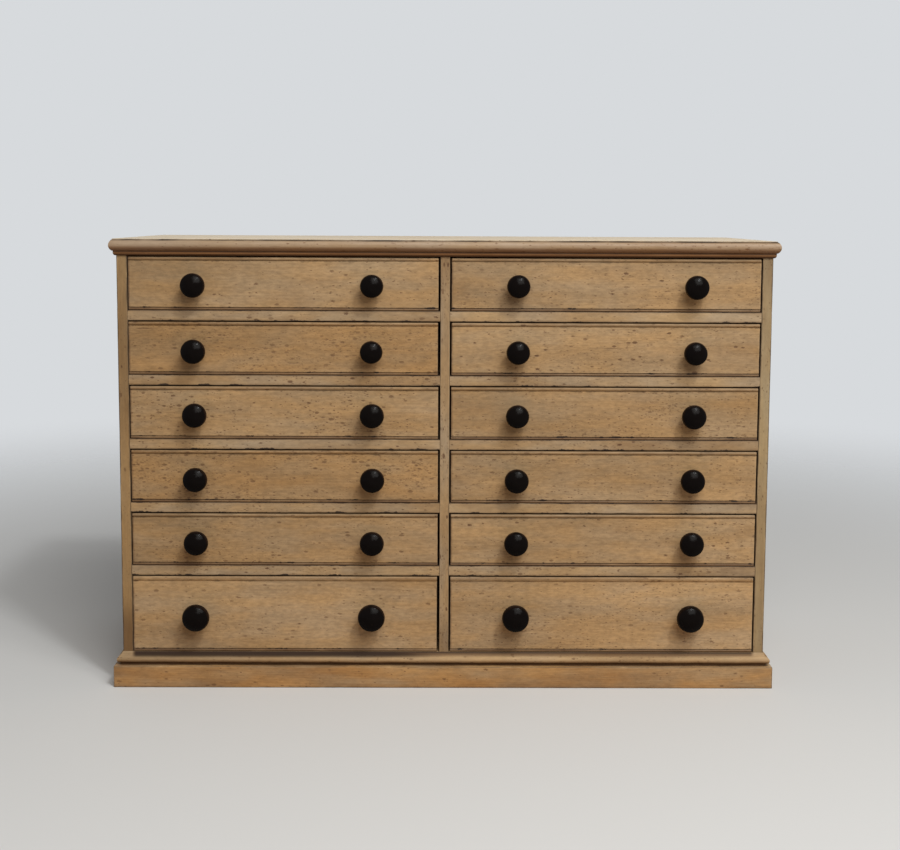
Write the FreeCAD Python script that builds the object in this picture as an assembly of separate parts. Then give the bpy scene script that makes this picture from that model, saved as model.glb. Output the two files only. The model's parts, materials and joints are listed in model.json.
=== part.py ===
import FreeCAD
import Part
import math
import os

# Bank of twelve pine drawers, two columns of six, with turned and blackened knobs.
# Millimetres. X runs to the right, Y to the back and Z up, so the front faces -Y.
# The origin is on the floor, under the middle of the box that holds the whole piece.

# Carcase
carcase_width = 1187.0
carcase_depth = 450.0
overall_height = 826.0
side_thickness = 19.0
partition_thickness = 17.5
housing_depth = 6.0

# Back of upright boards, let into rebates in the sides
back_thickness = 12.0
back_rebate = 9.5
back_board_count = 8
tongue_thickness = 4.0
tongue_length = 5.0

# Top board with a low step over a rounded nose, worked along the front and both ends
top_thickness = 22.0
top_band_height = 1.6
top_band_reach = 6.5
top_reach = 12.3

# Bed mould under the top
bed_mould_height = 8.5
bed_mould_reach = 5.0
bed_mould_round = 4.6

# Plinth of three mitred boards, and the nosed moulding that stands on it
plinth_height = 40.0
plinth_thickness = 15.0
base_moulding_height = 24.0
base_moulding_reach = 11.0
base_nose_radius = 6.5
base_nose_lift = 4.0
bottom_board_thickness = 19.0

# Drawer openings: five shallow rows over a deep one, which takes the height that is left
shallow_rows = 5
shallow_opening = 98.6
rail_thickness = 19.0
rail_width = 60.0

# Joints of the rails
tenon_length = 7.0
tenon_thickness = 9.0
tenon_shoulder = 8.0
lap_length = 13.0
lap_spread = 6.0

# Runners behind the rails, and the stops that the drawer fronts close against
runner_width = 25.0
stop_length = 45.0
stop_width = 20.0
stop_thickness = 6.0
stop_inset = 60.0

# Drawers
drawer_back_gap = 18.0
front_thickness = 20.0
drawer_side_thickness = 10.0
drawer_side_drop = 4.0
drawer_back_thickness = 10.0
drawer_bottom_thickness = 7.0
groove_height = 10.0
groove_depth = 5.0
drawer_play = 4.6
drawer_headroom = 2.1
running_clearance = 0.3

# How much of its side play each drawer has on its left, from the top row down
play_shares = {
    "left": (0.32, 0.12, 0.32, 0.34, 0.30, 0.12),
    "right": (0.55, 0.58, 0.52, 0.55, 0.60, 0.55),
}

# Dovetails of the drawers
dovetail_lap = 6.0
dovetail_pin = 9.0
dovetail_pitch = 48.0
dovetail_slope_share = 0.17

# Beads scratched along the top and bottom edges of the drawer fronts
bottom_bead_width = 4.6
top_bead_width = 6.4
deep_top_bead_width = 8.5
bead_depth = 2.0
quirk_width = 1.1

# Turned knobs
knob_spacing = 321.0
knob_diameter = 44.5
knob_length = 38.0
deep_knob_diameter = 50.0
deep_knob_length = 42.0
spigot_diameter = 14.0

# Section of a knob, in shares of its radius and of its length out from the drawer front
knob_base_share = 0.56
knob_neck_shares = (0.38, 0.24)
knob_under_shares = (0.90, 0.47)
knob_rim_share = 0.60
knob_crown_shares = (0.91, 0.81)

# How far each row's knobs sit below the middle of the front, in shares of its height
knob_drop_shares = (0.024, 0.044, 0.022, 0.031, 0.020, 0.002)

# Places that follow from the sizes above
half_width = carcase_width / 2
front_reach = max(knob_length, deep_knob_length, top_reach, plinth_thickness)
front_y = (front_reach - carcase_depth) / 2
back_y = front_y + carcase_depth
inner_back_y = back_y - back_thickness
side_top = overall_height - top_thickness
opening_top = side_top - bed_mould_height
bottom_board_top = plinth_height + base_moulding_height
row_pitch = shallow_opening + rail_thickness
deep_opening = opening_top - shallow_rows * row_pitch - bottom_board_top
inner_half = half_width - side_thickness
opening_width = inner_half - partition_thickness / 2
drawer_width = opening_width - drawer_play
drawer_length = carcase_depth - back_thickness - drawer_back_gap
row_count = shallow_rows + 1
opening_left = {"left": -inner_half, "right": partition_thickness / 2}


def box(low, high):
    """A board between its lowest and highest corners."""
    size = [b - a for a, b in zip(low, high)]
    return Part.makeBox(size[0], size[1], size[2], FreeCAD.Vector(*low))


def outline(path, place):
    """A face round a closed path: a step is a corner, or the middle and the end of an arc."""
    edges = []
    here = path[0]
    for step in path[1:] + path[:1]:
        if isinstance(step[0], tuple):
            middle, there = step
            edges.append(Part.Arc(place(*here), place(*middle), place(*there)).toShape())
        else:
            there = step
            edges.append(Part.LineSegment(place(*here), place(*there)).toShape())
        here = there
    return Part.Face(Part.Wire(edges))


def mirrored(shape):
    """The same piece on the other side of the middle."""
    return shape.mirror(FreeCAD.Vector(0, 0, 0), FreeCAD.Vector(1, 0, 0))


def moved(shape, x, y, z):
    """A copy of a piece in another place."""
    copy = shape.copy()
    copy.translate(FreeCAD.Vector(x, y, z))
    return copy


def plan_prism(corners):
    """An upright block over a plan outline, as tall as the whole piece."""
    plan = outline(corners, lambda x, y: FreeCAD.Vector(x, y, 0))
    return plan.extrude(FreeCAD.Vector(0, 0, overall_height))


def front_run(section, reach):
    """A section of (reach, height) steps, run along the front."""
    start = -half_width - reach
    face = outline(section, lambda out, z: FreeCAD.Vector(start, front_y - out, z))
    return face.extrude(FreeCAD.Vector(-2 * start, 0, 0))


def left_run(section, reach):
    """The same section, run along the left side to the back."""
    start = front_y - reach
    face = outline(section, lambda out, z: FreeCAD.Vector(-half_width - out, start, z))
    return face.extrude(FreeCAD.Vector(0, back_y - start, 0))


def mitred_moulding(section, reach):
    """Front, left and right lengths of a moulding, mitred at the two front corners."""
    inner = (-half_width, front_y)
    outer = (-half_width - reach, front_y - reach)
    front_plan = plan_prism([inner, outer, (-outer[0], outer[1]), (-inner[0], inner[1])])
    left_plan = plan_prism([inner, outer, (outer[0], back_y), (inner[0], back_y)])
    front = front_run(section, reach).common(front_plan)
    left = left_run(section, reach).common(left_plan)
    return [front, left, mirrored(left)]


def top_board():
    """The top, with its step and nose mitring where the front meets the ends."""
    band_bottom = overall_height - top_band_height
    nose = (top_reach, (side_top + band_bottom) / 2)

    def section(inward):
        return [
            (-inward, side_top),
            (top_band_reach, side_top),
            (nose, (top_band_reach, band_bottom)),
            (top_band_reach, overall_height),
            (-inward, overall_height),
        ]

    board = front_run(section(carcase_depth), top_reach)
    ends = left_run(section(carcase_width + top_reach), top_reach)
    return board.common(ends).common(mirrored(ends))


def bed_mould():
    """A small moulding under the top with its lower edge rounded."""
    straight = bed_mould_reach - bed_mould_round
    corner = bed_mould_round * (1 - 0.5 ** 0.5)
    section = [
        (0, opening_top),
        (straight, opening_top),
        (
            (bed_mould_reach - corner, opening_top + corner),
            (bed_mould_reach, opening_top + bed_mould_round),
        ),
        (bed_mould_reach, side_top),
        (0, side_top),
    ]
    return mitred_moulding(section, bed_mould_reach)


def base_moulding():
    """The nosed strip on the plinth, with a step under the nose and a slope above it."""
    step_reach = base_moulding_reach - base_nose_radius
    nose_bottom = plinth_height + base_nose_lift
    nose_middle = nose_bottom + base_nose_radius
    section = [
        (0, plinth_height),
        (step_reach, plinth_height),
        (step_reach, nose_bottom),
        ((base_moulding_reach, nose_middle), (step_reach, nose_middle + base_nose_radius)),
        (0, bottom_board_top),
    ]
    return mitred_moulding(section, base_moulding_reach)


def plinth_boards():
    """Plain boards round the foot, mitred at the front corners."""
    section = [(0, 0), (plinth_thickness, 0), (plinth_thickness, plinth_height), (0, plinth_height)]
    return mitred_moulding(section, plinth_thickness)


def row_floor(row):
    """Height of the rail top or board that a row's drawers run on, row 0 being the top one."""
    if row < shallow_rows:
        return opening_top - row * row_pitch - shallow_opening
    return bottom_board_top


def drawer_rail(column, row):
    """The rail under a shallow row, stub-tenoned into the upright on each side."""
    left = opening_left[column]
    right = left + opening_width
    top = row_floor(row)
    bottom = top - rail_thickness
    rail = box((left, front_y, bottom), (right, front_y + rail_width, top))
    tenon_bottom = bottom + (rail_thickness - tenon_thickness) / 2
    tenon = box(
        (left - tenon_length, front_y + tenon_shoulder, tenon_bottom),
        (
            right + tenon_length,
            front_y + rail_width - tenon_shoulder,
            tenon_bottom + tenon_thickness,
        ),
    )
    return rail.fuse(tenon).removeSplitter()


def top_rail(front):
    """A thin rail under the top from side to side, with a dovetailed lap at each end."""
    back = front + rail_width
    middle = front + rail_width / 2
    neck = rail_width / 2 - tenon_shoulder - lap_spread
    wide = rail_width / 2 - tenon_shoulder
    end = inner_half + lap_length
    corners = [
        (-inner_half, front),
        (inner_half, front),
        (inner_half, middle - neck),
        (end, middle - wide),
        (end, middle + wide),
        (inner_half, middle + neck),
        (inner_half, back),
        (-inner_half, back),
        (-inner_half, middle + neck),
        (-end, middle + wide),
        (-end, middle - wide),
        (-inner_half, middle - neck),
    ]
    face = outline(corners, lambda x, y: FreeCAD.Vector(x, y, opening_top))
    return face.extrude(FreeCAD.Vector(0, 0, bed_mould_height))


def runner_pair(column, front, back, bottom, top):
    """Two strips that lie along the sides of an opening."""
    left = opening_left[column]
    right = left + opening_width
    return [
        box((left, front, bottom), (left + runner_width, back, top)),
        box((right - runner_width, front, bottom), (right, back, top)),
    ]


def drawer_runners():
    """Runners under the shallow rows, and kickers that keep the top row from tipping."""
    strips = []
    for column in opening_left:
        for row in range(shallow_rows):
            top = row_floor(row)
            bottom = top - rail_thickness
            strips += runner_pair(column, front_y + rail_width, inner_back_y, bottom, top)
        kicker_back = inner_back_y - rail_width
        strips += runner_pair(column, front_y + rail_width, kicker_back, opening_top, side_top)
    return strips


def drawer_stops():
    """Two small blocks behind each drawer front."""
    front = front_y + front_thickness + running_clearance
    blocks = []
    for left in opening_left.values():
        for row in range(row_count):
            floor = row_floor(row)
            for start in (left + stop_inset, left + opening_width - stop_inset - stop_length):
                low = (start, front, floor)
                high = (start + stop_length, front + stop_width, floor + stop_thickness)
                blocks.append(box(low, high))
    return blocks


def bottom_board():
    """The floor of the carcase, housed in both sides."""
    end = inner_half + housing_depth
    low = (-end, front_y, bottom_board_top - bottom_board_thickness)
    return box(low, (end, inner_back_y, bottom_board_top))


def partition(top_rails):
    """The upright board between the columns, let into the bottom board and notched at the top."""
    half = partition_thickness / 2
    low = (-half, front_y, bottom_board_top - housing_depth)
    return box(low, (half, inner_back_y, side_top)).cut(top_rails)


def left_side():
    """A side board with a rebate for the back."""
    inner = -inner_half
    board = box((-half_width, front_y, 0), (inner, back_y, side_top))
    rebate = box((inner - back_rebate, inner_back_y, 0), (inner, back_y, side_top))
    return board.cut(rebate)


def back_boards():
    """Upright boards, tongued and grooved together, from the bottom board to the top."""
    half = inner_half + back_rebate
    width = 2 * half / back_board_count
    bottom = bottom_board_top - bottom_board_thickness
    tongue_front = inner_back_y + (back_thickness - tongue_thickness) / 2
    tongue_back = tongue_front + tongue_thickness
    boards = []
    for index in range(back_board_count):
        left = -half + index * width
        right = left + width
        board = box((left, inner_back_y, bottom), (right, back_y, side_top))
        if index > 0:
            groove = box((left, tongue_front, bottom), (left + tongue_length, tongue_back, side_top))
            board = board.cut(groove)
        if index < back_board_count - 1:
            tongue = box((right, tongue_front, bottom), (right + tongue_length, tongue_back, side_top))
            board = board.fuse(tongue).removeSplitter()
        boards.append(board)
    return boards


def front_height(row):
    """Height of a drawer front: its opening, less the room above and below it."""
    opening = shallow_opening if row < shallow_rows else deep_opening
    return opening - drawer_headroom - running_clearance


def beaded_board(height, top_bead):
    """A drawer front with a bead along its bottom edge and one along its top edge."""
    low_quirk = bottom_bead_width + quirk_width
    high_quirk = height - top_bead - quirk_width
    section = [
        (front_thickness, 0),
        (bead_depth, 0),
        ((0, bottom_bead_width / 2), (bead_depth, bottom_bead_width)),
        (bead_depth, low_quirk),
        (0, low_quirk),
        (0, high_quirk),
        (bead_depth, high_quirk),
        (bead_depth, height - top_bead),
        ((0, height - top_bead / 2), (bead_depth, height)),
        (front_thickness, height),
    ]
    face = outline(section, lambda y, z: FreeCAD.Vector(-drawer_width / 2, y, z))
    return face.extrude(FreeCAD.Vector(drawer_width, 0, 0))


def tails(bottom, top, end, shoulder):
    """Dovetails on the left drawer side, wide at their end and narrow at the shoulder."""
    count = max(1, round((top - bottom) / dovetail_pitch))
    pitch = (top - bottom) / count
    wide = (pitch - dovetail_pin) / 2
    narrow = wide - abs(shoulder - end) * dovetail_slope_share
    prisms = []
    for index in range(count):
        middle = bottom + (index + 0.5) * pitch
        corners = [
            (end, middle - wide),
            (shoulder, middle - narrow),
            (shoulder, middle + narrow),
            (end, middle + wide),
        ]
        face = outline(corners, lambda y, z: FreeCAD.Vector(-drawer_width / 2, y, z))
        prisms.append(face.extrude(FreeCAD.Vector(drawer_side_thickness, 0, 0)))
    return prisms


def drawer_bottom():
    """The thin bottom, which slides in from the back and runs under the drawer's back."""
    half = drawer_width / 2 - drawer_side_thickness + groove_depth
    low = (-half, front_thickness - groove_depth, groove_height)
    return box(low, (half, drawer_length, groove_height + drawer_bottom_thickness))


def drawer_pieces(height, top_bead, bottom):
    """Front, then two sides and the back, dovetailed at all four corners."""
    left = -drawer_width / 2
    side_height = height - drawer_side_drop
    back_bottom = groove_height + drawer_bottom_thickness
    back_front = drawer_length - drawer_back_thickness
    inner = left + drawer_side_thickness
    board = box((left, front_thickness, 0), (inner, back_front, side_height))
    heel = box((left, back_front, 0), (inner, drawer_length, back_bottom))
    front_tails = tails(0, side_height, dovetail_lap, front_thickness)
    back_tails = tails(back_bottom, side_height, drawer_length, back_front)
    side = board.multiFuse([heel] + front_tails + back_tails).removeSplitter().cut(bottom)
    sides = [side, mirrored(side)]
    front = beaded_board(height, top_bead).cut(sides + [bottom])
    back = box((left, back_front, back_bottom), (-left, drawer_length, side_height)).cut(sides)
    return front, sides + [back]


def turned_knob(diameter, length):
    """One knob turned about its own axis: a spigot, a waisted neck, a rim and a domed face."""
    radius = diameter / 2
    spigot = spigot_diameter / 2
    crown, crown_at = knob_crown_shares[0] * radius, knob_crown_shares[1] * length
    rise = length - crown_at
    dome_radius = (crown ** 2 + rise ** 2) / (2 * rise)
    half_way = math.asin(crown / dome_radius) / 2
    dome = (
        dome_radius * math.sin(half_way),
        length - dome_radius * (1 - math.cos(half_way)),
    )
    section = [
        (0, -front_thickness),
        (spigot, -front_thickness),
        (spigot, 0),
        (radius * knob_base_share, 0),
        (radius * knob_neck_shares[0], length * knob_neck_shares[1]),
        (radius * knob_under_shares[0], length * knob_under_shares[1]),
        (radius, length * knob_rim_share),
        (crown, crown_at),
        (dome, (0, length)),
    ]
    face = outline(section, lambda out, along: FreeCAD.Vector(out, -along, 0))
    return face.revolve(FreeCAD.Vector(0, 0, 0), FreeCAD.Vector(0, 1, 0), 360)


def knob_pair(row, knob):
    """The two knobs of a drawer, at the height of its row."""
    height = front_height(row) * (0.5 - knob_drop_shares[row])
    return [moved(knob, side * knob_spacing / 2, 0, height) for side in (-1, 1)]


def carcase_nodes():
    """Every fixed piece, with each joint cut by the piece that fills it."""
    rails = [drawer_rail(column, row) for column in opening_left for row in range(shallow_rows)]
    top_rails = [top_rail(front_y), top_rail(inner_back_y - rail_width)]
    middle = partition(top_rails)
    floor = bottom_board()
    side = left_side().cut(rails + top_rails + [floor])
    return {
        "top_board": [top_board()],
        "bed_mould": bed_mould(),
        "side_left": [side],
        "side_right": [mirrored(side)],
        "centre_partition": [middle.cut(rails)],
        "back_boards": back_boards(),
        "bottom_board": [floor.cut(middle)],
        "drawer_rails": rails + top_rails,
        "drawer_runners": drawer_runners(),
        "drawer_stops": drawer_stops(),
        "plinth_boards": plinth_boards(),
        "base_moulding": base_moulding(),
    }


def drawer_nodes():
    """The four nodes of each drawer, closed against its stops and just clear of its runners."""
    bottom = drawer_bottom()
    shallow = drawer_pieces(front_height(0), top_bead_width, bottom)
    deep = drawer_pieces(front_height(shallow_rows), deep_top_bead_width, bottom)
    shallow_knob = turned_knob(knob_diameter, knob_length)
    deep_knob = turned_knob(deep_knob_diameter, deep_knob_length)
    nodes = {}
    for column, left in opening_left.items():
        for row in range(row_count):
            front, frame = shallow if row < shallow_rows else deep
            knob = shallow_knob if row < shallow_rows else deep_knob
            knobs = knob_pair(row, knob)
            x = left + drawer_width / 2 + drawer_play * play_shares[column][row]
            z = row_floor(row) + running_clearance
            pieces = {
                "front": [front.cut(knobs)],
                "frame": frame,
                "bottom": [bottom],
                "knobs": knobs,
            }
            for piece, solids in pieces.items():
                name = "drawer_{}_{}_{}".format(column, row + 1, piece)
                nodes[name] = [moved(solid, x, front_y, z) for solid in solids]
    return nodes


def export(nodes):
    """One file for each node, with its solids kept apart."""
    os.makedirs("parts", exist_ok=True)
    for name, solids in nodes.items():
        shape = solids[0] if len(solids) == 1 else Part.makeCompound(solids)
        shape.exportStep("parts/{}.step".format(name))
        print(name, len(shape.Solids), "solids,", round(shape.Volume / 1000), "cm3")


export({**carcase_nodes(), **drawer_nodes()})
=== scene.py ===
# %% [markdown]
# # A bank of twelve pine drawers
# The chest is stripped pine with a hundred years of rubbing, knocks and dirt on it, and its knobs are
# turned and stained black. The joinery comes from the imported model, which is loaded first and never
# moved. This file gives the pieces their surfaces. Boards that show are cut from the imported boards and
# then rubbed, so that every joint still fits, and the knobs are turned afresh with more facets.

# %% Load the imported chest
import json
import math
import random

import bmesh
import bpy
from mathutils import Matrix, Vector, noise


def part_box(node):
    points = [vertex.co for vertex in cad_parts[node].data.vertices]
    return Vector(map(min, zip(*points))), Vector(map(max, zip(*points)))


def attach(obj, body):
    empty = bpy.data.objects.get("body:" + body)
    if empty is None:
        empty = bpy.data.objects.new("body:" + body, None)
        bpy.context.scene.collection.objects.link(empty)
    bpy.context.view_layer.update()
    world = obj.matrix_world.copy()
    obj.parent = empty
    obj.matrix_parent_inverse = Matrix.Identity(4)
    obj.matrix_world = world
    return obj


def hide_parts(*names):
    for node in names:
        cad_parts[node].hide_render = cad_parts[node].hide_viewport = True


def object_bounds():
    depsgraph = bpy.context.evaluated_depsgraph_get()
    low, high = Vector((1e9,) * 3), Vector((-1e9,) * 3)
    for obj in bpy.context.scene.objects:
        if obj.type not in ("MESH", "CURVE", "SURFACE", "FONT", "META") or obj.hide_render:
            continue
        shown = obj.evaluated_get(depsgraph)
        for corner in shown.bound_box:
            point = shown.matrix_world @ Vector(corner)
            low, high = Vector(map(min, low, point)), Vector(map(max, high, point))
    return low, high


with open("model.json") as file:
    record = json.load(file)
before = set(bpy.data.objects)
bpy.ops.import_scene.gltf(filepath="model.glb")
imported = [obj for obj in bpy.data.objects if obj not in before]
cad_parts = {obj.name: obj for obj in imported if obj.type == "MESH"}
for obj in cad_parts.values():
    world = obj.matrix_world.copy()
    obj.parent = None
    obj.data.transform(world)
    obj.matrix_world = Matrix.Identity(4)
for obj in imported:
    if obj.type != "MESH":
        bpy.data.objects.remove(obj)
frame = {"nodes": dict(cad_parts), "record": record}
cad_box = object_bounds()
MM = 0.001

# %% [markdown]
# ## Where the eye stands
# The photograph was taken from a little below the height of the top, almost square to the front. A
# camera in Blender looks down its own -Z, so it is first tipped up to look along +Y, then tipped down
# and turned by the small angles that the converging edges of the chest give. The picture was cropped
# after it was taken, and a small vertical shift does the same.

# %% Camera
PICTURE_WIDTH = 900
PICTURE_HEIGHT = 850
SIGHT_ROW = 351.4
FOCAL_PIXELS = 1396.1
SENSOR = 36.0

eye = Vector((-0.0125, -2.7287, 0.8702))
tipped_down = 0.0972
turned = 0.0085
rolled = 0.0049


def new_object(name, data):
    """Puts a mesh, a lamp or a lens into the scene as an object."""
    made = bpy.data.objects.new(name, data)
    bpy.context.scene.collection.objects.link(made)
    return made


lens = bpy.data.cameras.new("eye")
lens.sensor_width = SENSOR
lens.lens = FOCAL_PIXELS / PICTURE_WIDTH * SENSOR
lens.shift_y = (SIGHT_ROW - PICTURE_HEIGHT / 2) / PICTURE_WIDTH
camera = new_object("eye", lens)
camera.matrix_world = (
    Matrix.Translation(eye)
    @ Matrix.Rotation(-turned, 4, "Z")
    @ Matrix.Rotation(math.pi / 2 - tipped_down, 4, "X")
    @ Matrix.Rotation(rolled, 4, "Z")
)
bpy.context.scene.camera = camera
bpy.context.scene.view_settings.view_transform = "Standard"
print("Lens", round(lens.lens, 2), "mm, shift", round(lens.shift_y, 4))

# %% [markdown]
# ## Nodes in one line
# A material in Blender is a tree of nodes. Making each node by hand takes four or five lines, so a few
# small helpers do it in one: any node with its settings and inputs, sums and products of masks, a
# smooth step from one value to another, and a colour mix. An input may be a plain value or the output
# of another node.

# %% Node helpers
def feed(tree, made, inputs):
    """Sets inputs of a node to plain values, or links them to outputs of other nodes."""
    for name, value in inputs.items():
        if isinstance(value, bpy.types.NodeSocket):
            tree.links.new(value, made.inputs[name])
        else:
            made.inputs[name].default_value = value


def node(tree, kind, inputs, **settings):
    made = tree.nodes.new(kind)
    for name, value in settings.items():
        setattr(made, name, value)
    feed(tree, made, inputs)
    return made


def maths(tree, operation, *values):
    return node(tree, "ShaderNodeMath", dict(enumerate(values)), operation=operation).outputs[0]


def chain(operation):
    """A helper that joins two or more values by the same operation."""
    def joined(tree, first, *others):
        for other in others:
            first = maths(tree, operation, first, other)
        return first
    return joined


times, plus, minus = chain("MULTIPLY"), chain("ADD"), chain("SUBTRACT")
most, least = chain("MAXIMUM"), chain("MINIMUM")


def vectors(tree, operation, *values):
    made = node(tree, "ShaderNodeVectorMath", dict(enumerate(values)), operation=operation)
    return made.outputs["Value" if operation == "LENGTH" else "Vector"]


def parts(tree, vector):
    return node(tree, "ShaderNodeSeparateXYZ", {0: vector}).outputs


def step_up(tree, value, start, end, low=0.0, high=1.0):
    """A smooth step from low to high while the value goes from start to end."""
    inputs = {"Value": value, "From Min": start, "From Max": end, "To Min": low, "To Max": high}
    return node(tree, "ShaderNodeMapRange", inputs, interpolation_type="SMOOTHSTEP").outputs["Result"]


def step_down(tree, value, start, end, high=1.0):
    return step_up(tree, value, start, end, high, 0.0)


def blend(tree, share, first, second, how="MIX"):
    inputs = {0: share, 6: first, 7: second}
    return node(tree, "ShaderNodeMix", inputs, data_type="RGBA", blend_type=how).outputs[2]


print("Node helpers ready in Blender", bpy.app.version_string)

# %% [markdown]
# ## Textures, colours and groups
# Two textures do nearly all the work: soft clouds, and random cells of which each has luck of its own.
# Both are stretched along the grain. Colours are written as the screen shows them and turned into the
# linear values that a shader takes. An effect that several materials share is a group of nodes with
# named sockets, so it is built once and each material only sets what differs.

# %% Textures, colours and groups
def clouds(tree, place, stretch, detail=3.0, roughness=0.55):
    scaled = vectors(tree, "MULTIPLY", place, stretch)
    inputs = {"Vector": scaled, "Scale": 1.0, "Detail": detail, "Roughness": roughness}
    return node(tree, "ShaderNodeTexNoise", inputs, normalize=True).outputs["Fac"]


def cells(tree, place, stretch):
    """How far each spot is from the middle of its cell, and three random shares for the cell."""
    scaled = vectors(tree, "MULTIPLY", place, stretch)
    made = node(tree, "ShaderNodeTexVoronoi", {"Vector": scaled, "Scale": 1.0}).outputs
    return made["Distance"], node(tree, "ShaderNodeSeparateColor", {0: made["Color"]}).outputs


def shade(red, green, blue):
    """A colour as the screen shows it, 0 to 255, turned into the linear colour that a shader takes."""
    def linear(part):
        part = part / 255
        return part / 12.92 if part <= 0.04045 else ((part + 0.055) / 1.055) ** 2.4
    return (linear(red), linear(green), linear(blue), 1.0)


def new_group(name, inputs, outputs):
    """An empty node group with its named sockets, and the two nodes its contents hang between."""
    tree = bpy.data.node_groups.new(name, "ShaderNodeTree")
    for socket, default in inputs.items():
        kind = "NodeSocketVector" if isinstance(default, tuple) else "NodeSocketFloat"
        made = tree.interface.new_socket(name=socket, in_out="INPUT", socket_type=kind)
        made.default_value = default
    for socket in outputs:
        tree.interface.new_socket(name=socket, in_out="OUTPUT", socket_type="NodeSocketFloat")
    return tree, tree.nodes.new("NodeGroupInput").outputs, tree.nodes.new("NodeGroupOutput")


def use_group(tree, group, inputs):
    return node(tree, "ShaderNodeGroup", inputs, node_tree=group).outputs


def new_material(name):
    """A material with its tree of nodes and the shader that is its surface."""
    made = bpy.data.materials.new(name)
    made.use_nodes = True
    return made, made.node_tree, made.node_tree.nodes["Principled BSDF"]


print("Mid grey is", round(shade(128, 128, 128)[0], 3), "in linear light")

# %% [markdown]
# ## Floor and background
# The chest stands on a plain pale floor. The floor could end in a hard horizon behind the chest, but
# that line would cut the picture in two, so the disc fades out with distance and the world behind it
# has the same pale colour. That colour is only for the eye and for reflections: the light that the
# world gives is set apart, so a paler background never means more light on the wood. The floor does
# the same: it looks pale, but the light it throws back is that of the brown boards of the photograph.

# %% Floor and world
FLOOR_RADIUS = 9.0
FLOOR_SEGMENTS = 96
FADE_START = 0.9
FADE_END = 3.6
BACKGROUND = shade(215, 218, 221)
SKY = (1.0, 0.985, 0.965, 1)
SKY_STRENGTH = 0.24
PALE_FLOOR = shade(206, 206, 205)
BROWN_FLOOR = shade(160, 126, 90)


def seen_directly(tree):
    """1 for what the eye, a mirror or glass shows, and 0 for light on its way to the wood."""
    rays = node(tree, "ShaderNodeLightPath", {}).outputs
    return most(tree, rays["Is Camera Ray"], rays["Is Glossy Ray"], rays["Is Transmission Ray"])


disc = bmesh.new()
bmesh.ops.create_circle(disc, cap_ends=True, radius=FLOOR_RADIUS, segments=FLOOR_SEGMENTS)
floor = new_object("floor", bpy.data.meshes.new("floor"))
disc.to_mesh(floor.data)
disc.free()

floor_paint, tree, paint = new_material("pale_floor")
colour = blend(tree, seen_directly(tree), BROWN_FLOOR, PALE_FLOOR)
feed(tree, paint, {"Base Color": colour, "Roughness": 0.85})
spot = node(tree, "ShaderNodeTexCoord", {}).outputs["Object"]
gone = step_up(tree, vectors(tree, "LENGTH", spot), FADE_START, FADE_END)
clear = node(tree, "ShaderNodeBsdfTransparent", {}).outputs[0]
faded = node(tree, "ShaderNodeMixShader", {0: gone, 1: paint.outputs[0], 2: clear}).outputs[0]
feed(tree, tree.nodes["Material Output"], {"Surface": faded})
floor.data.materials.append(floor_paint)

world = bpy.data.worlds.new("studio")
world.use_nodes = True
tree = world.node_tree
sky = node(tree, "ShaderNodeBackground", {"Color": SKY, "Strength": SKY_STRENGTH}).outputs[0]
backdrop = node(tree, "ShaderNodeBackground", {"Color": BACKGROUND, "Strength": 1.0}).outputs[0]
both = node(tree, "ShaderNodeMixShader", {0: seen_directly(tree), 1: sky, 2: backdrop}).outputs[0]
feed(tree, tree.nodes["World Output"], {"Surface": both})
bpy.context.scene.world = world
print("Floor fades out between", FADE_START, "and", FADE_END, "m")

# %% [markdown]
# ## One soft window
# The highlights on the knobs sit high and to the right of their middle. Each knob throws a shadow down
# and to the left, dark close to the knob and soon gone. That is what a large window does, and nearly all
# the light comes from it. A large area lamp gives the soft light. A smaller one stands a little higher
# and further to the right, where the sky is brightest, and gives the highlights their bright spot.

# %% Window light
# name, size in metres, power in watts, degrees of rise, degrees of swing, metres away, colour
WINDOW_PARTS = (
    ("window", 3.0, 164.0, 42, 21, 4.4, (1.0, 0.98, 0.945)),
    ("brightest_pane", 0.5, 80.0, 50, 27, 5.8, (0.97, 0.99, 1.0)),
)

middle = Vector((0, (cad_box[0][1] + cad_box[1][1]) / 2, cad_box[1][2] / 2))
for name, size, power, rise, swing, away, tone in WINDOW_PARTS:
    lamp = bpy.data.lights.new(name, "AREA")
    lamp.shape = "SQUARE"
    lamp.size = size
    lamp.energy = power
    lamp.color = tone
    rise, swing = math.radians(rise), math.radians(swing)
    level = math.cos(rise)
    towards = Vector((math.sin(swing) * level, -math.cos(swing) * level, math.sin(rise)))
    facing = towards.to_track_quat("Z", "Y").to_matrix().to_4x4()
    window = new_object(name, lamp)
    window.matrix_world = Matrix.Translation(middle + towards * away) @ facing
    print(name, "at", [round(part, 2) for part in window.matrix_world.translation])

# %% [markdown]
# ## How pine grows, as a group of nodes
# Every board shares the same wood, so its figure is made once. A tree lays down one ring a year: pale
# in spring, then a thin dark line in autumn. A board is a slice through those rings, and a ring seen
# along the board wanders as the trunk did. So the ring pattern is a distance from the tree's middle,
# bent by slow noise, and everything is stretched along the grain. Wide pieces are glued up from
# narrower boards: the group shifts the pattern from board to board and marks the seam between them.

# %% Pine figure
KNOT_SHARE = 0.16
SEAM_START = 0.2 * MM
SEAM_END = 0.9 * MM

tree, given, out = new_group(
    "pine figure",
    {"Place": (0, 0, 0), "Ring Width": 4 * MM, "Board Width": 10.0},
    ["Rings", "Fibre", "Tone", "Warmth", "Mottle", "Knots", "Seam"],
)
boards = maths(tree, "DIVIDE", parts(tree, given["Place"])[1], given["Board Width"])
board = maths(tree, "FLOOR", boards)
edge = times(tree, maths(tree, "PINGPONG", minus(tree, boards, board), 0.5), given["Board Width"])
shift = node(tree, "ShaderNodeCombineXYZ", {0: board, 1: times(tree, board, 0.37)}).outputs[0]
place = vectors(tree, "ADD", given["Place"], shift)

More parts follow.
